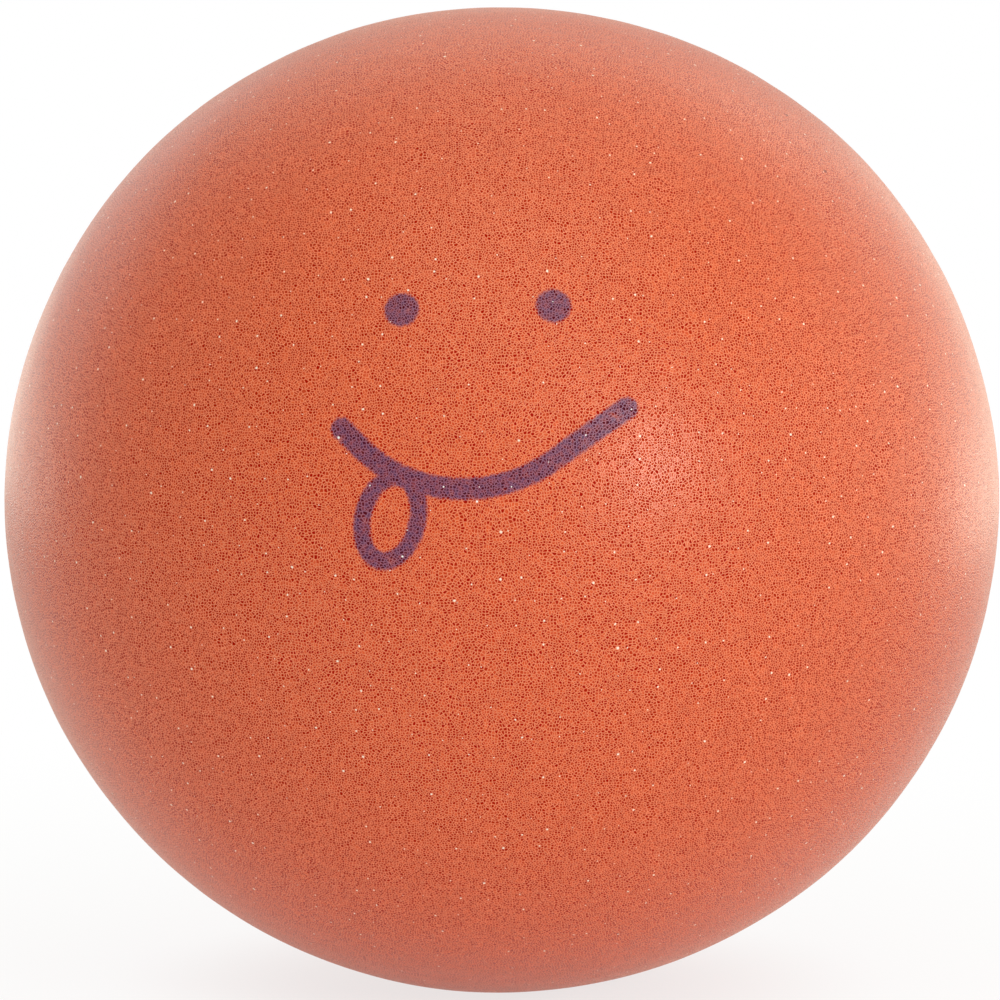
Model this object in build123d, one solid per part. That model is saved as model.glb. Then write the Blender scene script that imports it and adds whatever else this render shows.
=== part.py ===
from build123d import *
import math
import os

# A moulded foam dodgeball: an open-celled core in its own dense skin, with a face printed into the skin.
# Millimetres and degrees. The origin is the ball's centre, +Z is up, and the face looks along -Y.

# The ball sits a little flatter than it is wide.
ball_width = 178.0
ball_height = 176.5
skin_thickness = 1.6
ink_depth = 0.3

# The face looks this far above the equator, and is turned this far about its own middle.
face_latitude = 19.0
face_roll = 1.8

# Two round eyes, level with each other and above the middle of the face.
eye_diameter = 5.9
eye_spacing = 25.6
eye_rise = 16.1

# The smile is a round bend with a straight arm rising from each end of it.
smile_stroke = 3.6
smile_bend_radius = 25.0
smile_drop = 15.2
smile_left_offset = 2.0
smile_left_slope = 48.0
smile_right_slope = 36.0
smile_left_arm_length = 4.1
smile_right_arm_length = 15.1

# The tongue is an oval loop, hung from the left of the bend and tucked in below the smile's upper edge.
tongue_stroke = 2.9
tongue_width = 12.3
tongue_length = 16.8
tongue_lean = 15.5
tongue_angle = 27.5
tongue_tuck_depth = 0.8

# Straight down, measured from the face's own x axis.
down_angle = 270.0
bend_middle = Vector(-smile_left_offset, smile_bend_radius - smile_drop)


def spheroid(inset):
    """The ball's round form, brought in evenly by inset: half an ellipse, as one exact weighted curve, given a
    half turn to the front and another to the back."""
    half_width = ball_width / 2 - inset
    half_height = ball_height / 2 - inset
    bottom = (0, -half_height)
    top = (0, half_height)
    reach = 2 * half_width
    arc = Bezier(bottom, (reach, -half_height), (reach, half_height), top, weights=(3, 1, 1, 3))
    outline = Plane.XZ * make_face([arc, Line(top, bottom)])
    return revolve(outline, Axis.Z, 180) + revolve(outline, Axis.Z, -180)


def direction(angle):
    """The unit vector at this angle in the face's plane."""
    return Vector(math.cos(math.radians(angle)), math.sin(math.radians(angle)))


def eye_outline(side):
    return Pos(side * eye_spacing / 2, eye_rise) * Circle(eye_diameter / 2)


def smile_outline():
    start_angle = down_angle - smile_left_slope
    bend = CenterArc(bend_middle, smile_bend_radius, start_angle, smile_left_slope + smile_right_slope)
    left_arm = PolarLine(bend @ 0, smile_left_arm_length, direction=-(bend % 0))
    right_arm = PolarLine(bend @ 1, smile_right_arm_length, direction=bend % 1)
    return SlotArc(Wire([left_arm, bend, right_arm]), smile_stroke)


def tongue_outline():
    """The loop, less what the smile covers of it."""
    top_radius = smile_bend_radius - smile_stroke / 2 + tongue_tuck_depth
    loop_top = bend_middle + direction(down_angle - tongue_angle) * top_radius
    loop_middle = loop_top + direction(down_angle - tongue_lean) * (tongue_length / 2)
    outer = Ellipse(tongue_width / 2, tongue_length / 2)
    inner = Ellipse(tongue_width / 2 - tongue_stroke, tongue_length / 2 - tongue_stroke)
    return Pos(loop_middle) * Rot(Z=-tongue_lean) * (outer - inner) - smile_outline()


outer_form = spheroid(0)
foam_core = spheroid(skin_thickness)
ink_layer = outer_form - spheroid(ink_depth)

latitude = math.radians(face_latitude)
face_direction = (0, -math.cos(latitude), math.sin(latitude))
face_plane = Plane(origin=(0, 0, 0), x_dir=(1, 0, 0), z_dir=face_direction).rotated((0, 0, face_roll))


def print_of(outline):
    """Ink of this outline, pressed straight on along the face's direction and soaked in by its depth."""
    return extrude(face_plane * outline, amount=ball_width) & ink_layer


prints = {
    "left_eye_print": print_of(eye_outline(-1)),
    "right_eye_print": print_of(eye_outline(1)),
    "smile_print": print_of(smile_outline()),
    "tongue_print": print_of(tongue_outline()),
}
skin = outer_form - foam_core
for mark in prints.values():
    skin = skin - mark

nodes = {"foam_core": foam_core, "skin": skin, **prints}
os.makedirs("parts", exist_ok=True)
for name, shape in nodes.items():
    export_step(shape, f"parts/{name}.step")
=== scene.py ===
import math

import bpy
import numpy as np
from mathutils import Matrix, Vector


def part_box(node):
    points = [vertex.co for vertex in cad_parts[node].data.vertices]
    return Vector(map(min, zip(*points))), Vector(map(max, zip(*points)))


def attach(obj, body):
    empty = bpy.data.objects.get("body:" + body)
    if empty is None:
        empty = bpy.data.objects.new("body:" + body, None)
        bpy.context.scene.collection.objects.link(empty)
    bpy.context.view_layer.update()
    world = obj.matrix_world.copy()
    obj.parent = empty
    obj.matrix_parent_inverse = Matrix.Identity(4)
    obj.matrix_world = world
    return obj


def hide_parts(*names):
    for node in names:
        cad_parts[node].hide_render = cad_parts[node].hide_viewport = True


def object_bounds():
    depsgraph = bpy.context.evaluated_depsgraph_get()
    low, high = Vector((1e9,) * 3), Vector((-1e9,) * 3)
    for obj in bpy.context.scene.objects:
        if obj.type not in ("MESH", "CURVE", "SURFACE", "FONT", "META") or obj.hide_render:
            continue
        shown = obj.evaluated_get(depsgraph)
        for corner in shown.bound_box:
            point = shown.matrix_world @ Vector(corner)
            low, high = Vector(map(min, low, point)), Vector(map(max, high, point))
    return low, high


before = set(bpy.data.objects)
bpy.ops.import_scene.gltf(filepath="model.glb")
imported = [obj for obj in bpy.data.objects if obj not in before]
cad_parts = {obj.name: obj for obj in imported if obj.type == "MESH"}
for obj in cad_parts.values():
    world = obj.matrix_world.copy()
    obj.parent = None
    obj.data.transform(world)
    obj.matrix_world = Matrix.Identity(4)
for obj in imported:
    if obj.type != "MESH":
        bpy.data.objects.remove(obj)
cad_low, cad_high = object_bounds()

# A moulded foam dodgeball in the CAD's own frame: metres, the ball's centre at the origin, +Z up and the face
# towards -Y.
MM = 0.001
HALF_WIDTH = (cad_high.x - cad_low.x) / 2
HALF_HEIGHT = (cad_high.z - cad_low.z) / 2
HALF_SIZES = np.array((HALF_WIDTH, HALF_WIDTH, HALF_HEIGHT))
SKIN_THICKNESS = HALF_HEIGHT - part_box("foam_core")[1].z

# Squares along each edge of the cube that a round form is pressed out from. Points of the cube's sides that
# agree to this many digits are one.
SKIN_CELLS = 124
SKIN_INSIDE_CELLS = 24
CORE_CELLS = 56
MERGE_DIGITS = 7

# The moulding's unevenness: wavelength, height and number of waves. The core lies just clear of the skin.
SKIN_WAVES = ((0.085, 0.00010, 12), (0.030, 0.00004, 24), (0.0075, 0.000010, 48))
CORE_WAVES = ((0.040, 0.00020, 16), (0.006, 0.00012, 48))
SKIN_SEED = 11
CORE_SEED = 23
CORE_CLEARANCE = 0.05 * MM

# The pinholes are laid out on six flat maps of the ball, one for each axis, set this far apart. The maps sway
# a little and meet along wavering lines. The printed face lies on the map of -Y.
MAP_GAP = 0.4
MAP_WAVES = ((0.006, 0.02, 12),)
MAP_SWAY = ((0.008, 0.0002, 24),)
MAP_SEEDS = (41, 42)
FACE_AXIS = 3

# The skin's bake map: the six sides of a round form in columns and rows with a gap round each, and the low
# and high corners of the share that the outside and the inside take.
BAKE_COLUMNS = 3
BAKE_ROWS = 2
BAKE_GAP = 0.003
BAKE_OUTSIDE = ((0, 0), (1, 0.95))
BAKE_INSIDE = ((0, 0.955), (0.07, 1))

# The printed face, as the CAD has it.
FACE_LATITUDE = 19.0
FACE_ROLL = 1.8
EYE_RADIUS = 2.95 * MM
EYE_SPACING = 25.6 * MM
EYE_RISE = 16.1 * MM
SMILE_STROKE = 3.6 * MM
SMILE_BEND_RADIUS = 25.0 * MM
SMILE_DROP = 15.2 * MM
SMILE_LEFT_OFFSET = 2.0 * MM
SMILE_LEFT_SLOPE = 48.0
SMILE_RIGHT_SLOPE = 36.0
SMILE_LEFT_ARM = 4.1 * MM
SMILE_RIGHT_ARM = 15.1 * MM
TONGUE_STROKE = 2.9 * MM
TONGUE_WIDTH = 12.3 * MM
TONGUE_LENGTH = 16.8 * MM
TONGUE_LEAN = 15.5
TONGUE_ANGLE = 27.5
TONGUE_TUCK = 0.8 * MM
DOWN_ANGLE = 270.0

# The ink's film: how far its faint edge spreads past the outline, the steps of its mesh, its height on the
# skin and its depth in it. The tongue lies a little lower than the smile that it meets.
INK_SPREAD = 0.7 * MM
INK_STEP = 0.3 * MM
INK_LEAST_STEPS = 4
INK_SHARP_ANGLE = 40.0
INK_HEIGHT = 0.03 * MM
INK_EDGE_HEIGHT = 0.012 * MM
INK_DEPTH = 0.27 * MM
TONGUE_INK_LOWER = 0.008 * MM

# Keeps the distance from an oval finite at the oval's middle.
LEAST_SLOPE = 1e-6


def direction(angle):
    """The unit vector at this angle, in degrees, in the face's plane."""
    return np.array((math.cos(math.radians(angle)), math.sin(math.radians(angle))))


BEND_MIDDLE = np.array((-SMILE_LEFT_OFFSET, SMILE_BEND_RADIUS - SMILE_DROP))
BEND_START = DOWN_ANGLE - SMILE_LEFT_SLOPE
BEND_END = DOWN_ANGLE + SMILE_RIGHT_SLOPE
TONGUE_TOP = BEND_MIDDLE + direction(DOWN_ANGLE - TONGUE_ANGLE) * (
    SMILE_BEND_RADIUS - SMILE_STROKE / 2 + TONGUE_TUCK
)
TONGUE_MIDDLE = TONGUE_TOP + direction(DOWN_ANGLE - TONGUE_LEAN) * (TONGUE_LENGTH / 2)
EYES = {
    "left_eye": np.array((-EYE_SPACING / 2, EYE_RISE)),
    "right_eye": np.array((EYE_SPACING / 2, EYE_RISE)),
}


# Round forms

def on_spheroid(ways, inset=0.0):
    """Where rays from the centre meet the ball's form, brought in by inset."""
    return ways / np.linalg.norm(ways / (HALF_SIZES - inset), axis=1, keepdims=True)


def spheroid_normals(points):
    """The unit vectors straight out of the ball's form at points on or near it."""
    normals = points / HALF_SIZES**2
    return normals / np.linalg.norm(normals, axis=1, keepdims=True)


def unevenness(points, waves, seed):
    """How far the surface stands off its true form at each point: sets of waves that run every way."""
    rng = np.random.default_rng(seed)
    height = np.zeros(len(points))
    for wavelength, size, count in waves:
        ways = rng.normal(size=(count, 3))
        ways *= (2 * math.pi / wavelength) / np.linalg.norm(ways, axis=1, keepdims=True)
        phases = rng.uniform(0, 2 * math.pi, count)
        height += size * math.sqrt(2 / count) * np.sin(points @ ways.T + phases).sum(axis=1)
    return height


def cube_sphere(cells):
    """A cube's six grids pressed out to a unit sphere: points, quads, and each quad corner's place on its own
    face."""
    steps = np.tan(np.linspace(-math.pi / 4, math.pi / 4, cells + 1))
    along, across = np.meshgrid(steps, steps, indexing="ij")
    row, column = np.meshgrid(np.arange(cells), np.arange(cells), indexing="ij")
    first = (row * (cells + 1) + column).ravel()
    corners = np.stack((first, first + cells + 1, first + cells + 2, first + 1), axis=1)
    share = np.stack((row.ravel(), column.ravel()), axis=1)
    around = np.array(((0, 0), (1, 0), (1, 1), (0, 1)))
    face_places = (share[:, None, :] + around[None, :, :]) / cells
    points = []
    quads = []
    places = []
    for axis in range(3):
        for side in (1, -1):
            grid = np.empty((along.size, 3))
            grid[:, axis] = side
            grid[:, (axis + 1) % 3] = along.ravel() * side
            grid[:, (axis + 2) % 3] = across.ravel()
            quads.append(corners + len(points) * along.size)
            points.append(grid)
            places.append(face_places)
    points = np.concatenate(points)
    points /= np.linalg.norm(points, axis=1, keepdims=True)
    rounded, which = np.unique(np.round(points, MERGE_DIGITS), axis=0, return_inverse=True)
    rounded /= np.linalg.norm(rounded, axis=1, keepdims=True)
    return rounded, which.reshape(-1)[np.concatenate(quads)], np.stack(places)


def make_piece(name, points, faces, material):
    """A smooth mesh in the scene."""
    mesh = bpy.data.meshes.new(name)
    mesh.from_pydata(points.tolist(), [], [list(map(int, face)) for face in faces])
    mesh.shade_smooth()
    mesh.materials.append(material)
    piece = bpy.data.objects.new(name, mesh)
    bpy.context.scene.collection.objects.link(piece)
    return piece


def flat_map(ways, axis):
    """Unit vectors laid out flat, true to area, about one of the six axes: +X, -X, +Y, -Y, +Z, -Z."""
    side = 1 - 2 * (axis % 2)
    facing = ways[..., axis // 2] * side
    spread = HALF_WIDTH * np.sqrt(2 / (1 + facing))
    flat = ways.reshape(-1, 3) * HALF_WIDTH
    sway = [unevenness(flat, MAP_SWAY, seed).reshape(facing.shape) for seed in MAP_SEEDS]
    along = ways[..., (axis // 2 + 1) % 3] * spread + sway[0] + axis * MAP_GAP
    across = ways[..., (axis // 2 + 2) % 3] * spread + sway[1]
    return np.stack((along, across, np.zeros_like(along)), axis=-1)


def pore_map(ways):
    """Each face's corners on the flat map of the axis that it faces most, give or take some wavering."""
    middles = ways.mean(axis=1)
    facing = np.empty((6, len(ways)))
    for axis in range(6):
        side = 1 - 2 * (axis % 2)
        facing[axis] = middles[:, axis // 2] * side + unevenness(middles * HALF_WIDTH, MAP_WAVES, axis)
    nearest = facing.argmax(axis=0)
    placed = np.empty(ways.shape)
    for axis in range(6):
        placed[nearest == axis] = flat_map(ways[nearest == axis], axis)
    return placed.reshape(-1, 3)


def keep_pore_map(piece, places):
    """Stores a place on the pinholes' map for each face corner of the piece."""
    kept = piece.data.attributes.new("pore_map", "FLOAT_VECTOR", "CORNER")
    kept.data.foreach_set("vector", places.astype(np.float32).ravel())


def bake_places(places, low, high):
    """The corners' places on the bake map, with the six sides laid out between its low and high corners."""
    grid = np.array((BAKE_COLUMNS, BAKE_ROWS))
    placed = np.empty_like(places)
    for side in range(6):
        cell = np.array((side % BAKE_COLUMNS, side // BAKE_COLUMNS))
        placed[side] = (cell + BAKE_GAP + places[side] * (1 - 2 * BAKE_GAP)) / grid
    return np.array(low) + placed.reshape(-1, 2) * (np.array(high) - np.array(low))


def build_skin(material):
    """The dense skin: its uneven outside and the smooth inside that lies on the core."""
    ways, outside, outside_places = cube_sphere(SKIN_CELLS)
    points = on_spheroid(ways)
    points = points + spheroid_normals(points) * unevenness(points, SKIN_WAVES, SKIN_SEED)[:, None]
    inner_ways, inside, inside_places = cube_sphere(SKIN_INSIDE_CELLS)
    inner_points = on_spheroid(inner_ways, SKIN_THICKNESS)
    faces = np.concatenate((outside, inside[:, ::-1] + len(points)))
    skin = make_piece("foam_skin", np.concatenate((points, inner_points)), faces, material)
    places = np.concatenate(
        (
            bake_places(outside_places, *BAKE_OUTSIDE),
            bake_places(inside_places, *BAKE_INSIDE).reshape(-1, 4, 2)[:, ::-1].reshape(-1, 2),
        )
    )
    skin.data.uv_layers.new(name="OFBake").data.foreach_set("uv", places.ravel())
    pore_places = (pore_map(ways[outside]), pore_map(inner_ways[inside[:, ::-1]]))
    keep_pore_map(skin, np.concatenate(pore_places))
    return skin


def build_core(material):
    """The open-celled inside, as rough as torn foam where it meets the skin."""
    ways, faces, _ = cube_sphere(CORE_CELLS)
    points = on_spheroid(ways, SKIN_THICKNESS + CORE_CLEARANCE)
    dips = np.abs(unevenness(points, CORE_WAVES, CORE_SEED))
    points = points - spheroid_normals(points) * dips[:, None]
    return make_piece("foam_core_body", points, faces, material)


# The printed face

def from_arc(points):
    """The distance from the smile's centre line."""
    spokes = points - BEND_MIDDLE
    angles = np.degrees(np.arctan2(spokes[:, 1], spokes[:, 0])) % 360
    bend = np.abs(np.linalg.norm(spokes, axis=1) - SMILE_BEND_RADIUS)
    distance = np.where((angles > BEND_START) & (angles < BEND_END), bend, np.inf)
    for angle, turn, length in ((BEND_START, -90, SMILE_LEFT_ARM), (BEND_END, 90, SMILE_RIGHT_ARM)):
        start = BEND_MIDDLE + direction(angle) * SMILE_BEND_RADIUS
        way = direction(angle + turn)
        reach = np.clip((points - start) @ way, 0, length)
        distance = np.minimum(distance, np.linalg.norm(points - start - reach[:, None] * way, axis=1))
    return distance


def from_oval(points, half_width, half_length):
    """The distance outside an oval that leans as the tongue does, near its edge."""
    long_way = direction(90 - TONGUE_LEAN)
    wide_way = direction(-TONGUE_LEAN)
    local = np.stack(((points - TONGUE_MIDDLE) @ wide_way, (points - TONGUE_MIDDLE) @ long_way), axis=1)
    halves = np.array((half_width, half_length))
    share = np.linalg.norm(local / halves, axis=1)
    slope = np.linalg.norm(local / halves**2, axis=1)
    return share * (share - 1) / np.maximum(slope, LEAST_SLOPE)


def outside_ink(points):
    """The distance outside the nearest printed outline, negative within the ink."""
    distance = from_arc(points) - SMILE_STROKE / 2
    for middle in EYES.values():
        distance = np.minimum(distance, np.linalg.norm(points - middle, axis=1) - EYE_RADIUS)
    outer = from_oval(points, TONGUE_WIDTH / 2, TONGUE_LENGTH / 2)
    inner = from_oval(points, TONGUE_WIDTH / 2 - TONGUE_STROKE, TONGUE_LENGTH / 2 - TONGUE_STROKE)
    return np.minimum(distance, np.maximum(outer, -inner))


def steps_for(length):
    """How many steps of the ink's mesh this length takes."""
    return max(INK_LEAST_STEPS, math.ceil(length / INK_STEP))


def strip_faces(columns, rows, closed):
    """Quads between neighbouring columns of rows points each, facing out of the page for columns that run
    rightwards with rows that run upwards."""
    faces = []
    for column in range(columns if closed else columns - 1):
        near = column * rows
        far = (column + 1) % columns * rows
        faces += [(near + row, far + row, far + row + 1, near + row + 1) for row in range(rows - 1)]
    return faces


def disc(middle, radius):
    """Rings of points about a middle one."""
    rings = steps_for(radius)
    sectors = steps_for(2 * math.pi * radius)
    points = [middle]
    faces = []
    for sector in range(sectors):
        way = direction(360 * sector / sectors)
        points += [middle + way * radius * (ring + 1) / rings for ring in range(rings)]
    for sector in range(sectors):
        near = 1 + sector * rings
        far = 1 + (sector + 1) % sectors * rings
        faces.append((0, near, far))
        faces += [(near + ring, near + ring + 1, far + ring + 1, far + ring) for ring in range(rings - 1)]
    return np.array(points), faces


def smile_line():
    """Points along the smile's centre line from left to right, and the unit vector across it, upwards, at
    each."""
    left = BEND_MIDDLE + direction(BEND_START) * SMILE_BEND_RADIUS
    right = BEND_MIDDLE + direction(BEND_END) * SMILE_BEND_RADIUS
    bend_length = SMILE_BEND_RADIUS * math.radians(BEND_END - BEND_START)
    line = []
    across = []
    for share in np.linspace(1, 0, steps_for(SMILE_LEFT_ARM), endpoint=False):
        line.append(left + direction(BEND_START - 90) * SMILE_LEFT_ARM * share)
        across.append(-direction(BEND_START))
    for angle in np.linspace(BEND_START, BEND_END, steps_for(bend_length) + 1):
        line.append(BEND_MIDDLE + direction(angle) * SMILE_BEND_RADIUS)
        across.append(-direction(angle))
    for share in np.linspace(0, 1, steps_for(SMILE_RIGHT_ARM) + 1)[1:]:
        line.append(right + direction(BEND_END + 90) * SMILE_RIGHT_ARM * share)
        across.append(-direction(BEND_END))
    return np.array(line), np.array(across)


def stroke(line, across, half_width):
    """A stroke along a line, with round ends."""
    halves = steps_for(half_width)
    offsets = np.linspace(-half_width, half_width, 2 * halves + 1)
    rows = len(offsets)
    points = [point + way * offset for point, way in zip(line, across) for offset in offsets]
    faces = strip_faces(len(line), rows, closed=False)
    sectors = steps_for(math.pi * half_width)
    for end, lead, first in ((0, -1, 0), (-1, 1, (len(line) - 1) * rows)):
        middle = line[end]
        side = across[end]
        ahead = lead * np.array((side[1], -side[0]))
        spokes = [[first + halves - ring for ring in range(halves + 1)]]
        for sector in range(1, sectors):
            turn = math.pi * sector / sectors
            way = -side * math.cos(turn) + ahead * math.sin(turn)
            spokes.append([first + halves] + list(range(len(points), len(points) + halves)))
            points += [middle + way * offsets[halves + ring + 1] for ring in range(halves)]
        spokes.append([first + halves + ring for ring in range(halves + 1)])
        for near, far in zip(spokes, spokes[1:]):
            fan = [(near[0], near[1], far[1])]
            fan += [(near[ring], near[ring + 1], far[ring + 1], far[ring]) for ring in range(1, halves)]
            faces += [face if lead > 0 else face[::-1] for face in fan]
    return np.array(points), faces


def tongue_loop():
    """The tongue's oval stroke, with its spread on both sides."""
    half_width = TONGUE_WIDTH / 2 - TONGUE_STROKE / 2
    half_length = TONGUE_LENGTH / 2 - TONGUE_STROKE / 2
    columns = steps_for(math.pi * (half_width + half_length))
    reach = TONGUE_STROKE / 2 + INK_SPREAD
    offsets = np.linspace(reach, -reach, 2 * steps_for(TONGUE_STROKE / 2) + 1)
    long_way = direction(90 - TONGUE_LEAN)
    wide_way = direction(-TONGUE_LEAN)
    points = []
    for turn in np.linspace(0, 2 * math.pi, columns, endpoint=False):
        point = np.array((half_width * math.cos(turn), half_length * math.sin(turn)))
        normal = np.array((math.cos(turn) / half_width, math.sin(turn) / half_length))
        normal /= np.linalg.norm(normal)
        for offset in offsets:
            x, y = point + normal * offset
            points.append(TONGUE_MIDDLE + wide_way * x + long_way * y)
    return np.array(points), strip_faces(columns, len(offsets), closed=True)


def on_face(places):
    """Points of the face's plane, pressed straight onto the ball's uneven skin, and the ball's normals
    there."""
    latitude = math.radians(FACE_LATITUDE)
    roll = math.radians(FACE_ROLL)
    outward = np.array((0, -math.cos(latitude), math.sin(latitude)))
    level = np.array((1, 0, 0))
    upward = np.array((0, math.sin(latitude), math.cos(latitude)))
    right = level * math.cos(roll) + upward * math.sin(roll)
    up = upward * math.cos(roll) - level * math.sin(roll)
    flat = places[:, :1] * right + places[:, 1:] * up
    start = flat / HALF_SIZES
    way = outward / HALF_SIZES
    middle = start @ way
    span = way @ way
    reach = (-middle + np.sqrt(middle**2 - span * ((start**2).sum(axis=1) - 1))) / span
    points = flat + reach[:, None] * outward
    normals = spheroid_normals(points)
    return points + normals * unevenness(points, SKIN_WAVES, SKIN_SEED)[:, None], normals


def build_print(name, outline, material, lower=0.0):
    """A closed film of ink: its top on the skin, a wall round its edge and its underside soaked into the
    foam. The distance outside the printed outlines is kept on it, for the ink's soft edge."""
    places, faces = outline
    surface, normals = on_face(places)
    outside = outside_ink(places)
    fade = np.clip(1 - outside / INK_SPREAD, 0, 1)
    height = INK_EDGE_HEIGHT + (INK_HEIGHT - INK_EDGE_HEIGHT) * fade - lower
    top = surface + normals * height[:, None]
    bottom = surface - normals * INK_DEPTH
    edges = [edge for face in faces for edge in zip(face, face[1:] + face[:1])]
    shared = set(edges)
    rim = [(a, b) for a, b in edges if (b, a) not in shared]
    count = len(places)
    walls = [(b, a, a + count, b + count) for a, b in rim]
    under = [tuple(corner + count for corner in face[::-1]) for face in faces]
    piece = make_piece(name, np.concatenate((top, bottom)), list(faces) + under + walls, material)
    piece.data.set_sharp_from_angle(angle=math.radians(INK_SHARP_ANGLE))
    kept = piece.data.attributes.new("outside_ink", "FLOAT", "POINT")
    kept.data.foreach_set("value", np.concatenate((outside, outside)).astype(np.float32))
    ways = surface / np.linalg.norm(surface, axis=1, keepdims=True)
    pore_places = np.tile(flat_map(ways, FACE_AXIS), (2, 1))
    keep_pore_map(piece, pore_places[[corner.vertex_index for corner in piece.data.loops]])
    return piece


# Materials

class Nodes:
    """Adds nodes to one material or world, and wires them."""

    def __init__(self, owner):
        owner.use_nodes = True
        self.tree = owner.node_tree
        self.tree.nodes.clear()

    def add(self, kind, inputs=None, **settings):
        node = self.tree.nodes.new(kind)
        for name, value in settings.items():
            setattr(node, name, value)
        for name, value in (inputs or {}).items():
            self.put(node.inputs[name], value)
        return node

    def put(self, socket, value):
        if isinstance(value, bpy.types.NodeSocket):
            self.tree.links.new(value, socket)
        else:
            socket.default_value = value

    def math(self, operation, a, b=0.0, c=0.0):
        return self.add("ShaderNodeMath", {0: a, 1: b, 2: c}, operation=operation).outputs[0]

    def rise(self, value, low, high, start=0.0, end=1.0):
        """A smooth step from start at low to end at high."""
        inputs = {"Value": value, "From Min": low, "From Max": high, "To Min": start, "To Max": end}
        return self.add("ShaderNodeMapRange", inputs, interpolation_type="SMOOTHSTEP").outputs["Result"]

    def mix(self, share, a, b, blend="MIX"):
        node = self.add("ShaderNodeMix", data_type="RGBA", blend_type=blend)
        for name, value in (("Factor_Float", share), ("A_Color", a), ("B_Color", b)):
            self.put(next(s for s in node.inputs if s.identifier == name), value)
        return next(s for s in node.outputs if s.identifier == "Result_Color")

    def cells(self, places, size, feature):
        """A flat pattern of cells of this mean size."""
        inputs = {"Vector": places, "Scale": 1 / size}
        return self.add("ShaderNodeTexVoronoi", inputs, voronoi_dimensions="2D", feature=feature)

    def noise(self, places, size, detail=2.0):
        node = self.add("ShaderNodeTexNoise", {"Vector": places, "Scale": 1 / size, "Detail": detail})
        return node.outputs["Fac"]


# Pinholes: their spacing and depth, and in spacings from the wall between two of them, where a pinhole starts
# and is full and where the wall's ridge ends. Each draws a chance between 0 and 1, and a higher one makes it
# stronger.
PORE_SPACING = 0.50 * MM
PORE_DEPTH = 0.12 * MM
PORE_EDGE = (0.06, 0.32)
PORE_CHANCES = (-0.3, 0.9)
# The ridge along each wall is painted lighter out to this reach: a painted highlight.
RIDGE_REACH = 0.16
BUMP_STRENGTH = 0.35

# A pinhole lacks gloss where it faces the eye, and regains it as the surface turns from the first of these to
# the second, where 1 is edge on.
OPEN_FACING = (0.25, 0.80)

# Painted glints: pale spots painted into the colour as glints of light, each with a small raised bump. Their
# spacing, the share of places without one, and in spacings the least reach and how much the largest adds to
# it. A power makes the larger ones rarer. This share of each is at full brightness, and each stands out this
# many times as far as a pinhole goes in.
SPECK_SPACING = 4.0 * MM
SPECK_LACK = 0.5
SPECK_REACH = 0.03
SPECK_GROWTH = 0.045
SPECK_POWER = 2.0
SPECK_CORE = 0.4
SPECK_HEIGHT = 0.5

# Two dark nicks at the upper right: place and radius. This share of each is at full darkness.
NICKS = (
    ((0.0509, -0.0157, 0.0707), 0.45 * MM),
    ((0.0577, -0.0264, 0.0619), 0.50 * MM),
)
NICK_CORE = 0.4

# Fine grain and broad clouding: the size, and the share by which each lightens and darkens the colour. The
# grain's is for red, green and blue. Both are full at the ends of a range of their noise.
GRAIN_SIZE = 0.6 * MM
GRAIN_SHADES = (0.06, 0.22, 0.32)
CLOUD_SIZE = 3.0 * MM
CLOUD_SHADE = 0.03
SHADE_RANGE = (0.25, 0.75)

# The ink's edge wavers, draws back from the pinholes and is soft. The ink mixes two tones, and thins in
# patches.
WAVER_SIZE = 0.6 * MM
WAVER_REACH = 0.7 * MM
WAVER_MIDDLE = 0.5
DRAW_REACH = 0.15 * MM
DRAW_MIDDLE = 0.3
EDGE_REACH = 0.38 * MM
TONE_SIZE = 1.0 * MM
TONE_DETAIL = 3.0
TONE_RANGE = (0.30, 0.70)
THIN_SIZE = 2.2 * MM
THIN_RANGE = (0.55, 0.80)
THIN_SHARE = 0.35

# The core's open cells: their size, where the wall between two of them starts and is full, and their depth.
CELL_SIZE = 1.1 * MM
CELL_WALL = (0.2, 0.75)
CELL_DEPTH = 0.5 * MM
CELL_BUMP_STRENGTH = 0.6

# Colours
# Painted highlight along the ridges between the pinholes.
PAINTED_RIDGE_HIGHLIGHT = (0.815, 0.260, 0.132, 1)
LAND_COLOUR = (0.715, 0.092, 0.010, 1)
# Painted shade in the pinholes, which are also real pits in the bump.
PAINTED_PORE_SHADE = (0.37, 0.004, 0.0003, 1)
NICK_COLOUR = (0.22, 0.030, 0.010, 1)
# Painted glints: the pale colour painted as glints of light on the foam and on the ink.
PAINTED_GLINT_COLOUR = (1.0, 0.84, 0.70, 1)
INK_PAINTED_GLINT_COLOUR = (1.0, 0.98, 0.98, 1)
INK_VIOLET = (0.080, 0.022, 0.102, 1)
INK_PLUM = (0.265, 0.025, 0.038, 1)
# Painted highlight along the ridges of the ink.
INK_PAINTED_RIDGE_HIGHLIGHT = (0.320, 0.115, 0.200, 1)
# Painted shade in the pinholes of the ink.
INK_PAINTED_PORE_SHADE = (0.075, 0.004, 0.010, 1)
# Painted shade in the hollows of the core's open cells.
PAINTED_CELL_SHADE = (0.40, 0.06, 0.02, 1)
CELL_WALL_COLOURS = ((0.74, 0.18, 0.07, 1), (0.82, 0.23, 0.10, 1))

# Roughness, gloss and sheen
FOAM_ROUGHNESS = 0.31
PORE_ROUGHNESS = 0.75
CELL_ROUGHNESS = 1.0
CELL_WALL_ROUGHNESS = 0.8
GLOSS_LEVEL = 0.5
PORE_GLOSS = 0.04
SHEEN_WEIGHT = 0.20
SHEEN_ROUGHNESS = 0.2
SHEEN_TINT = (1.0, 0.90, 0.64, 1)


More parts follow.
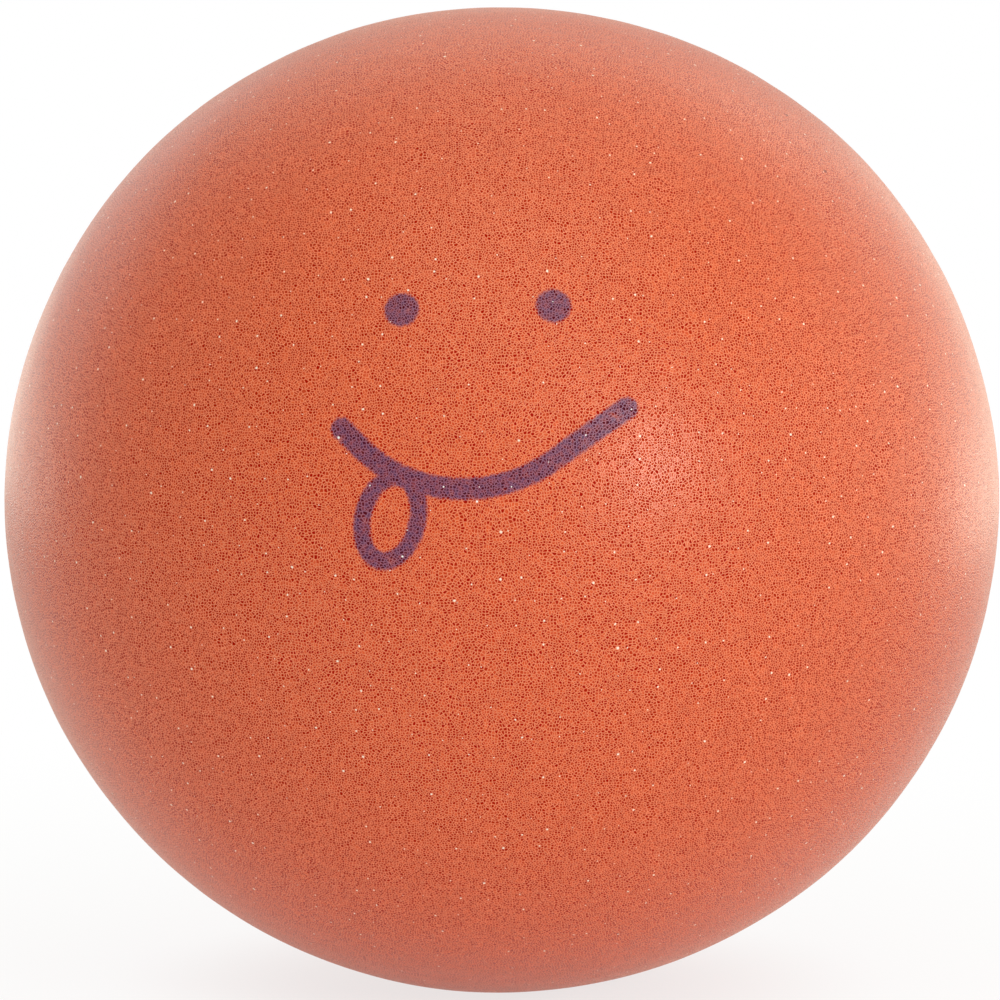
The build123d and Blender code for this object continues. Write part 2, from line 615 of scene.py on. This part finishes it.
def foam_surface(nodes):
    """The parts of the foam's surface: the map, colour, pinholes, the ridges between them that are painted
    lighter as a painted highlight, and painted glints.
    """
    places = nodes.add("ShaderNodeAttribute", attribute_name="pore_map").outputs["Vector"]
    wall = nodes.cells(places, PORE_SPACING, "DISTANCE_TO_EDGE").outputs["Distance"]
    chance = nodes.cells(places, PORE_SPACING, "F1").outputs["Color"]
    chance = nodes.add("ShaderNodeSeparateColor", {"Color": chance}).outputs[0]
    hole = nodes.math("MULTIPLY", nodes.rise(wall, *PORE_EDGE), nodes.rise(chance, *PORE_CHANCES))
    # The ridges are painted lighter: a painted highlight.
    painted_ridge_highlight = nodes.rise(wall, 0.0, RIDGE_REACH, 1.0, 0.0)
    colour = nodes.mix(painted_ridge_highlight, LAND_COLOUR, PAINTED_RIDGE_HIGHLIGHT)
    # The pinholes are painted darker: a painted shade over their real pits.
    colour = nodes.mix(hole, colour, PAINTED_PORE_SHADE)
    grain = nodes.noise(places, GRAIN_SIZE)
    cloud = nodes.noise(places, CLOUD_SIZE)
    cloud = nodes.rise(cloud, *SHADE_RANGE, 1 - CLOUD_SHADE, 1 + CLOUD_SHADE)
    shades = [nodes.rise(grain, *SHADE_RANGE, 1 - shade, 1 + shade) for shade in GRAIN_SHADES]
    shades = {channel: nodes.math("MULTIPLY", shade, cloud) for channel, shade in enumerate(shades)}
    tint = nodes.add("ShaderNodeCombineColor", shades).outputs[0]
    colour = nodes.mix(1.0, colour, tint, "MULTIPLY")
    # Painted glints: sparse pale spots painted into the colour where glints of light would fall.
    cell = nodes.cells(places, SPECK_SPACING, "F1")
    luck = nodes.add("ShaderNodeSeparateColor", {"Color": cell.outputs["Color"]})
    growth = nodes.math("POWER", luck.outputs[1], SPECK_POWER)
    reach = nodes.math("MULTIPLY_ADD", growth, SPECK_GROWTH, SPECK_REACH)
    core = nodes.math("MULTIPLY", reach, SPECK_CORE)
    painted_glint_spot = nodes.rise(cell.outputs["Distance"], core, reach, 1.0, 0.0)
    painted_glint_spot = nodes.math("MULTIPLY", painted_glint_spot, nodes.math("GREATER_THAN", luck.outputs[0], SPECK_LACK))
    return places, colour, hole, painted_ridge_highlight, painted_glint_spot


def finish_material(nodes, colour, hole, painted_glint_spot, painted_glint_colour):
    """Adds the painted glints, and the gloss, sheen and bump that the foam and the ink share."""
    # Paints the glints into the colour.
    colour = nodes.mix(painted_glint_spot, colour, painted_glint_colour)
    facing = nodes.add("ShaderNodeLayerWeight").outputs["Facing"]
    open_hole = nodes.math("MULTIPLY", hole, nodes.rise(facing, *OPEN_FACING, 1.0, 0.0))
    rough = nodes.rise(open_hole, 0.0, 1.0, FOAM_ROUGHNESS, PORE_ROUGHNESS)
    gloss = nodes.rise(open_hole, 0.0, 1.0, GLOSS_LEVEL, PORE_GLOSS)
    height = nodes.math("SUBTRACT", nodes.math("MULTIPLY", painted_glint_spot, SPECK_HEIGHT), hole)
    relief = {"Height": height, "Distance": PORE_DEPTH, "Strength": BUMP_STRENGTH}
    bump = nodes.add("ShaderNodeBump", relief)
    shader = nodes.add(
        "ShaderNodeBsdfPrincipled",
        {
            "Base Color": colour,
            "Roughness": rough,
            "Specular IOR Level": gloss,
            "Sheen Weight": SHEEN_WEIGHT,
            "Sheen Roughness": SHEEN_ROUGHNESS,
            "Sheen Tint": SHEEN_TINT,
            "Normal": bump.outputs["Normal"],
        },
    )
    nodes.add("ShaderNodeOutputMaterial", {"Surface": shader.outputs["BSDF"]})


def skin_material():
    """The skin's foam, with its two nicks."""
    material = bpy.data.materials.new("skin_foam")
    nodes = Nodes(material)
    _, colour, hole, _, painted_glint_spot = foam_surface(nodes)
    ball = nodes.add("ShaderNodeTexCoord").outputs["Object"]
    for place, radius in NICKS:
        away = nodes.add("ShaderNodeVectorMath", {0: ball, 1: place}, operation="DISTANCE").outputs["Value"]
        nick = nodes.rise(away, radius * NICK_CORE, radius, 1.0, 0.0)
        colour = nodes.mix(nick, colour, NICK_COLOUR)
        hole = nodes.math("MAXIMUM", hole, nick)
    finish_material(nodes, colour, hole, painted_glint_spot, PAINTED_GLINT_COLOUR)
    return material


def ink_material():
    """Ink on the foam: its ragged edge follows the pinholes, which stay open in it."""
    material = bpy.data.materials.new("print_ink")
    nodes = Nodes(material)
    places, colour, hole, painted_ridge_highlight, painted_glint_spot = foam_surface(nodes)
    outside = nodes.add("ShaderNodeAttribute", attribute_name="outside_ink").outputs["Fac"]
    waver = nodes.math("SUBTRACT", nodes.noise(places, WAVER_SIZE), WAVER_MIDDLE)
    outside = nodes.math("MULTIPLY_ADD", waver, WAVER_REACH, outside)
    draw = nodes.math("SUBTRACT", hole, DRAW_MIDDLE)
    outside = nodes.math("MULTIPLY_ADD", draw, DRAW_REACH, outside)
    cover = nodes.rise(outside, -EDGE_REACH, EDGE_REACH, 1.0, 0.0)
    tone = nodes.rise(nodes.noise(places, TONE_SIZE, TONE_DETAIL), *TONE_RANGE)
    ink = nodes.mix(tone, INK_VIOLET, INK_PLUM)
    # Painted highlight on the ink's ridges.
    ink = nodes.mix(painted_ridge_highlight, ink, INK_PAINTED_RIDGE_HIGHLIGHT)
    # Painted shade in the ink's pinholes.
    ink = nodes.mix(hole, ink, INK_PAINTED_PORE_SHADE)
    thin = nodes.rise(nodes.noise(places, THIN_SIZE), *THIN_RANGE, 0.0, THIN_SHARE)
    cover = nodes.math("SUBTRACT", cover, nodes.math("MULTIPLY", cover, thin))
    colour = nodes.mix(cover, colour, ink)
    finish_material(nodes, colour, hole, painted_glint_spot, INK_PAINTED_GLINT_COLOUR)
    return material


def core_material():
    """Open-celled foam: rounder, deeper cells than the skin's pinholes."""
    material = bpy.data.materials.new("core_foam")
    nodes = Nodes(material)
    places = nodes.add("ShaderNodeTexCoord").outputs["Object"]
    cell = nodes.add("ShaderNodeTexVoronoi", {"Vector": places, "Scale": 1 / CELL_SIZE})
    wall = nodes.rise(cell.outputs["Distance"], *CELL_WALL)
    chance = nodes.add("ShaderNodeSeparateColor", {"Color": cell.outputs["Color"]}).outputs[0]
    # The cell hollows are painted darker: a painted shade.
    colour = nodes.mix(wall, PAINTED_CELL_SHADE, nodes.mix(chance, *CELL_WALL_COLOURS))
    rough = nodes.rise(wall, 0.0, 1.0, CELL_ROUGHNESS, CELL_WALL_ROUGHNESS)
    relief = {"Height": wall, "Distance": CELL_DEPTH, "Strength": CELL_BUMP_STRENGTH}
    bump = nodes.add("ShaderNodeBump", relief)
    shader = nodes.add(
        "ShaderNodeBsdfPrincipled",
        {"Base Color": colour, "Roughness": rough, "Normal": bump.outputs["Normal"]},
    )
    nodes.add("ShaderNodeOutputMaterial", {"Surface": shader.outputs["BSDF"]})
    return material


# Camera, light and floor

CAMERA_AZIMUTH = 2.7
CAMERA_ELEVATION = 8.0
CAMERA_DISTANCE = 1.4
CAMERA_LENS = 280.9
CAMERA_SENSOR = 36.0
CAMERA_CLIP_START = 0.05
CAMERA_SHIFT = (-0.0018, -0.0006)

WHITE = (1, 1, 1, 1)
PLAIN = (1, 1, 1)
WARM = (1.0, 0.99, 0.80)

# The background looks white, and lights the ball at a lower level with a tint. In the gloss it is this share
# of the way from the second to the first.
AMBIENT_LEVEL = 0.56
AMBIENT_TINT = (1.0, 0.955, 0.88, 1)
GLOSS_WHITE = 0.5

# The floor: the share of it that glows when it lights the ball, and how dark its wide shadow and its contact
# shadow are and how far from the ball's centre they reach.
FLOOR_SIZE = 6.0
FLOOR_COLOUR = (0.95, 0.95, 0.95, 1)
FLOOR_GLOW = 0.34
SHADOW_SHARE = 0.10
SHADOW_REACH = 0.30
CONTACT_SHARE = 0.16
CONTACT_REACH = 0.115

# Soft boxes: name, place, width, height, how many times as bright as white, tint, and whether it shows in the
# gloss alone.
LAMPS = (
    ("key", (0.603, -0.759, 0.247), 0.22, 0.22, 14.2, PLAIN, False),
    ("front_high", (0.12, -0.80, 1.05), 1.2, 1.2, 0.76, WARM, False),
    ("front_right", (0.90, -1.10, 0.35), 0.9, 0.9, 0.52, WARM, False),
    ("overhead", (0.10, 0.00, 0.95), 0.8, 0.8, 0.50, WARM, False),
    ("right_wide", (0.95, 0.05, 0.22), 0.8, 0.8, 0.8, WARM, True),
    ("right_panel", (0.36, 0.42, 0.03), 0.50, 0.26, 0.90, WARM, True),
    ("right_strip", (0.42, 0.30, 0.00), 0.08, 0.16, 1.3, WARM, True),
    ("right_low", (0.40, 0.25, -0.04), 0.40, 0.08, 1.2, WARM, True),
    ("upper_right", (0.34, 0.36, 0.32), 0.40, 0.30, 0.65, WARM, False),
    ("top_back", (0.00, 0.45, 0.50), 0.90, 0.30, 0.44, WARM, False),
    ("left_panel", (-0.38, 0.40, 0.10), 0.50, 0.36, 0.38, PLAIN, True),
    ("left_low", (-0.38, 0.36, -0.01), 0.50, 0.10, 0.82, WARM, True),
)


def way_from(azimuth, elevation):
    """The unit vector towards a place round the ball: azimuth 0 is in front of the face, and 90 on the right
    of someone who looks at it."""
    a = math.radians(azimuth)
    e = math.radians(elevation)
    return Vector((math.sin(a) * math.cos(e), -math.cos(a) * math.cos(e), math.sin(e)))


def aim(thing, place):
    """Puts a camera or lamp there, looking at the ball's centre."""
    thing.location = place
    thing.rotation_euler = Vector(place).to_track_quat("Z", "Y").to_euler()
    bpy.context.scene.collection.objects.link(thing)


def make_camera():
    data = bpy.data.cameras.new("camera")
    data.lens = CAMERA_LENS
    data.sensor_width = CAMERA_SENSOR
    data.shift_x, data.shift_y = CAMERA_SHIFT
    data.clip_start = CAMERA_CLIP_START
    camera = bpy.data.objects.new("camera", data)
    aim(camera, way_from(CAMERA_AZIMUTH, CAMERA_ELEVATION) * CAMERA_DISTANCE)
    bpy.context.scene.camera = camera


def make_lamp(name, place, width, height, brightness, tint, gloss_only):
    """A soft box that faces the ball."""
    data = bpy.data.lights.new(name, "AREA")
    data.shape = "RECTANGLE"
    data.size = width
    data.size_y = height
    data.energy = brightness * math.pi * width * height
    data.color = tint
    lamp = bpy.data.objects.new(name, data)
    lamp.visible_diffuse = not gloss_only
    aim(lamp, place)


def seen_directly(nodes):
    """1 for rays that see the white, or see it through glass, less for its gloss, and 0 for its light."""
    path = nodes.add("ShaderNodeLightPath").outputs
    seen = nodes.math("MULTIPLY_ADD", path["Is Glossy Ray"], GLOSS_WHITE, path["Is Camera Ray"])
    return nodes.math("MAXIMUM", seen, path["Is Transmission Ray"])


def make_world():
    """A white background, which lights the ball at the ambient level."""
    world = bpy.data.worlds.new("studio")
    bpy.context.scene.world = world
    nodes = Nodes(world)
    seen = seen_directly(nodes)
    strength = nodes.math("MULTIPLY_ADD", seen, 1 - AMBIENT_LEVEL, AMBIENT_LEVEL)
    colour = nodes.mix(seen, AMBIENT_TINT, WHITE)
    background = nodes.add("ShaderNodeBackground", {"Color": colour, "Strength": strength})
    nodes.add("ShaderNodeOutputWorld", {"Surface": background.outputs["Background"]})


def make_floor():
    """A white floor under the ball, which keeps the ball's soft shadow near it."""
    half = FLOOR_SIZE / 2
    corners = [(x, y, -HALF_HEIGHT) for x, y in ((-half, -half), (half, -half), (half, half), (-half, half))]
    mesh = bpy.data.meshes.new("floor")
    mesh.from_pydata(corners, [], [(0, 1, 2, 3)])
    material = bpy.data.materials.new("floor_white")
    nodes = Nodes(material)
    places = nodes.add("ShaderNodeTexCoord").outputs["Object"]
    away = nodes.add("ShaderNodeVectorMath", {0: places}, operation="LENGTH").outputs["Value"]
    shadow = nodes.rise(away, HALF_HEIGHT, SHADOW_REACH, SHADOW_SHARE, 0.0)
    contact = nodes.rise(away, HALF_HEIGHT, CONTACT_REACH, CONTACT_SHARE, 0.0)
    white = nodes.math("SUBTRACT", 1.0, nodes.math("ADD", shadow, contact))
    share = nodes.math("MULTIPLY", white, nodes.math("MAXIMUM", FLOOR_GLOW, seen_directly(nodes)))
    paint = nodes.add("ShaderNodeBsdfDiffuse", {"Color": FLOOR_COLOUR})
    glow = nodes.add("ShaderNodeEmission", {"Color": WHITE, "Strength": 1.0})
    layers = {0: share, 1: paint.outputs["BSDF"], 2: glow.outputs["Emission"]}
    shader = nodes.add("ShaderNodeMixShader", layers)
    nodes.add("ShaderNodeOutputMaterial", {"Surface": shader.outputs["Shader"]})
    mesh.materials.append(material)
    floor = bpy.data.objects.new("floor", mesh)
    bpy.context.scene.collection.objects.link(floor)


make_camera()
make_world()
make_floor()
for lamp in LAMPS:
    make_lamp(*lamp)

foam = skin_material()
ink = ink_material()
eye_reach = EYE_RADIUS + INK_SPREAD
left_eye = disc(EYES["left_eye"], eye_reach)
right_eye = disc(EYES["right_eye"], eye_reach)
smile = stroke(*smile_line(), SMILE_STROKE / 2 + INK_SPREAD)
pieces = {
    "skin": (build_skin(foam), "skin_foam"),
    "foam_core": (build_core(core_material()), "core_foam"),
    "left_eye_print": (build_print("left_eye", left_eye, ink), "print_ink"),
    "right_eye_print": (build_print("right_eye", right_eye, ink), "print_ink"),
    "smile_print": (build_print("smile", smile, ink), "print_ink"),
    "tongue_print": (build_print("tongue", tongue_loop(), ink, TONGUE_INK_LOWER), "print_ink"),
}
for node, (piece, slot) in pieces.items():
    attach(piece, "root")
    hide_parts(node)

bpy.context.scene.view_settings.view_transform = "Standard"
